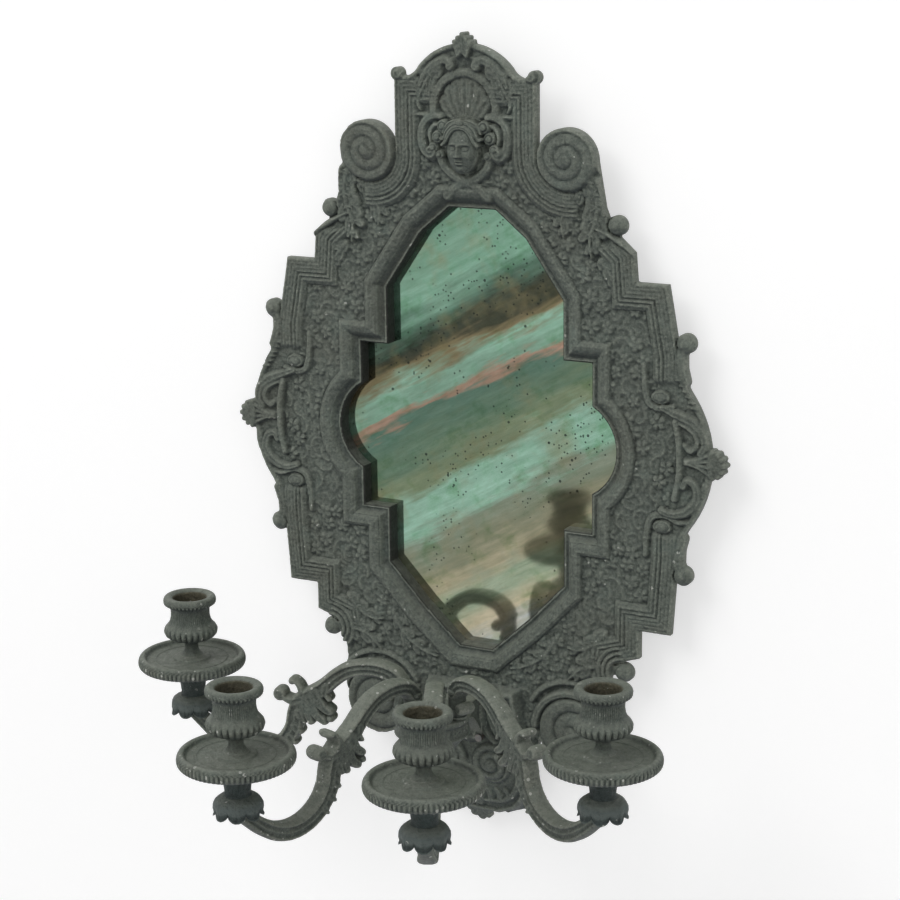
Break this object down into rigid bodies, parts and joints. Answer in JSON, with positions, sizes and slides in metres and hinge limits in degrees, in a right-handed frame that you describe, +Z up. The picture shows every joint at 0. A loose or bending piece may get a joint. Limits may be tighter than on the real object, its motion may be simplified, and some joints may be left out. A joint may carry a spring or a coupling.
{
  "type": "girandole mirror",
  "caption": "Wall mirror in a cast, stepped and scrolled bronze frame with a bracket of swinging candle arms, each ending in a drip pan and a candle nozzle.",
  "frame": {"origin": "the point on the wall plane on the centre line, half way between the tip of the crest finial and the tip of the lower leaf", "axes": "+X to the viewer's right, +Y into the wall, +Z up; the front faces -Y"},
  "size_m": [0.3932, 0.2822, 0.54],
  "materials": {
    "frame_bronze": "cast, dark patina",
    "arm_bronze": "cast, dark green-grey patina",
    "mirror": "aged, spotted silvering",
    "board_wood": "plain, aged",
    "steel_fittings": "dull"
  },
  "bodies": {
    "frame": {"frame_casting": "frame_bronze", "mirror_glass": "mirror", "backboard": "board_wood", "retaining_clips": "steel_fittings", "clip_screws": "steel_fittings", "hanger_plate": "steel_fittings", "hanger_screws": "steel_fittings", "bracket_bolts": "steel_fittings", "arm_bracket": "frame_bronze"},
    "arm_1_body": {"arm_1": "arm_bronze", "pivot_peg_1": "steel_fittings", "leaf_collar_1": "arm_bronze", "neck_1": "arm_bronze", "drip_pan_1": "arm_bronze", "nozzle_1": "arm_bronze", "stud_1": "steel_fittings", "nut_1": "steel_fittings"},
    "arm_2_body": {"arm_2": "arm_bronze", "pivot_peg_2": "steel_fittings", "leaf_collar_2": "arm_bronze", "neck_2": "arm_bronze", "drip_pan_2": "arm_bronze", "nozzle_2": "arm_bronze", "stud_2": "steel_fittings", "nut_2": "steel_fittings"},
    "arm_3_body": {"arm_3": "arm_bronze", "pivot_peg_3": "steel_fittings", "leaf_collar_3": "arm_bronze", "neck_3": "arm_bronze", "drip_pan_3": "arm_bronze", "nozzle_3": "arm_bronze", "stud_3": "steel_fittings", "nut_3": "steel_fittings"},
    "arm_4_body": {"arm_4": "arm_bronze", "pivot_peg_4": "steel_fittings", "leaf_collar_4": "arm_bronze", "neck_4": "arm_bronze", "drip_pan_4": "arm_bronze", "nozzle_4": "arm_bronze", "stud_4": "steel_fittings", "nut_4": "steel_fittings"}
  },
  "joints": [
    {"name": "arm_1_swing", "type": "hinge", "parent": "frame", "child": "arm_1_body", "pos_m": [-0.01941, -0.08684, -0.172], "axis": [0, 0, 1], "range_deg": [-10, 16]},
    {"name": "arm_2_swing", "type": "hinge", "parent": "frame", "child": "arm_2_body", "pos_m": [-0.00347, -0.1017, -0.172], "axis": [0, 0, 1], "range_deg": [-16, 7]},
    {"name": "arm_3_swing", "type": "hinge", "parent": "frame", "child": "arm_3_body", "pos_m": [0.01176, -0.09818, -0.172], "axis": [0, 0, 1], "range_deg": [-7, 5]},
    {"name": "arm_4_swing", "type": "hinge", "parent": "frame", "child": "arm_4_body", "pos_m": [0.01989, -0.08409, -0.172], "axis": [0, 0, 1], "range_deg": [-5, 18]}
  ]
}
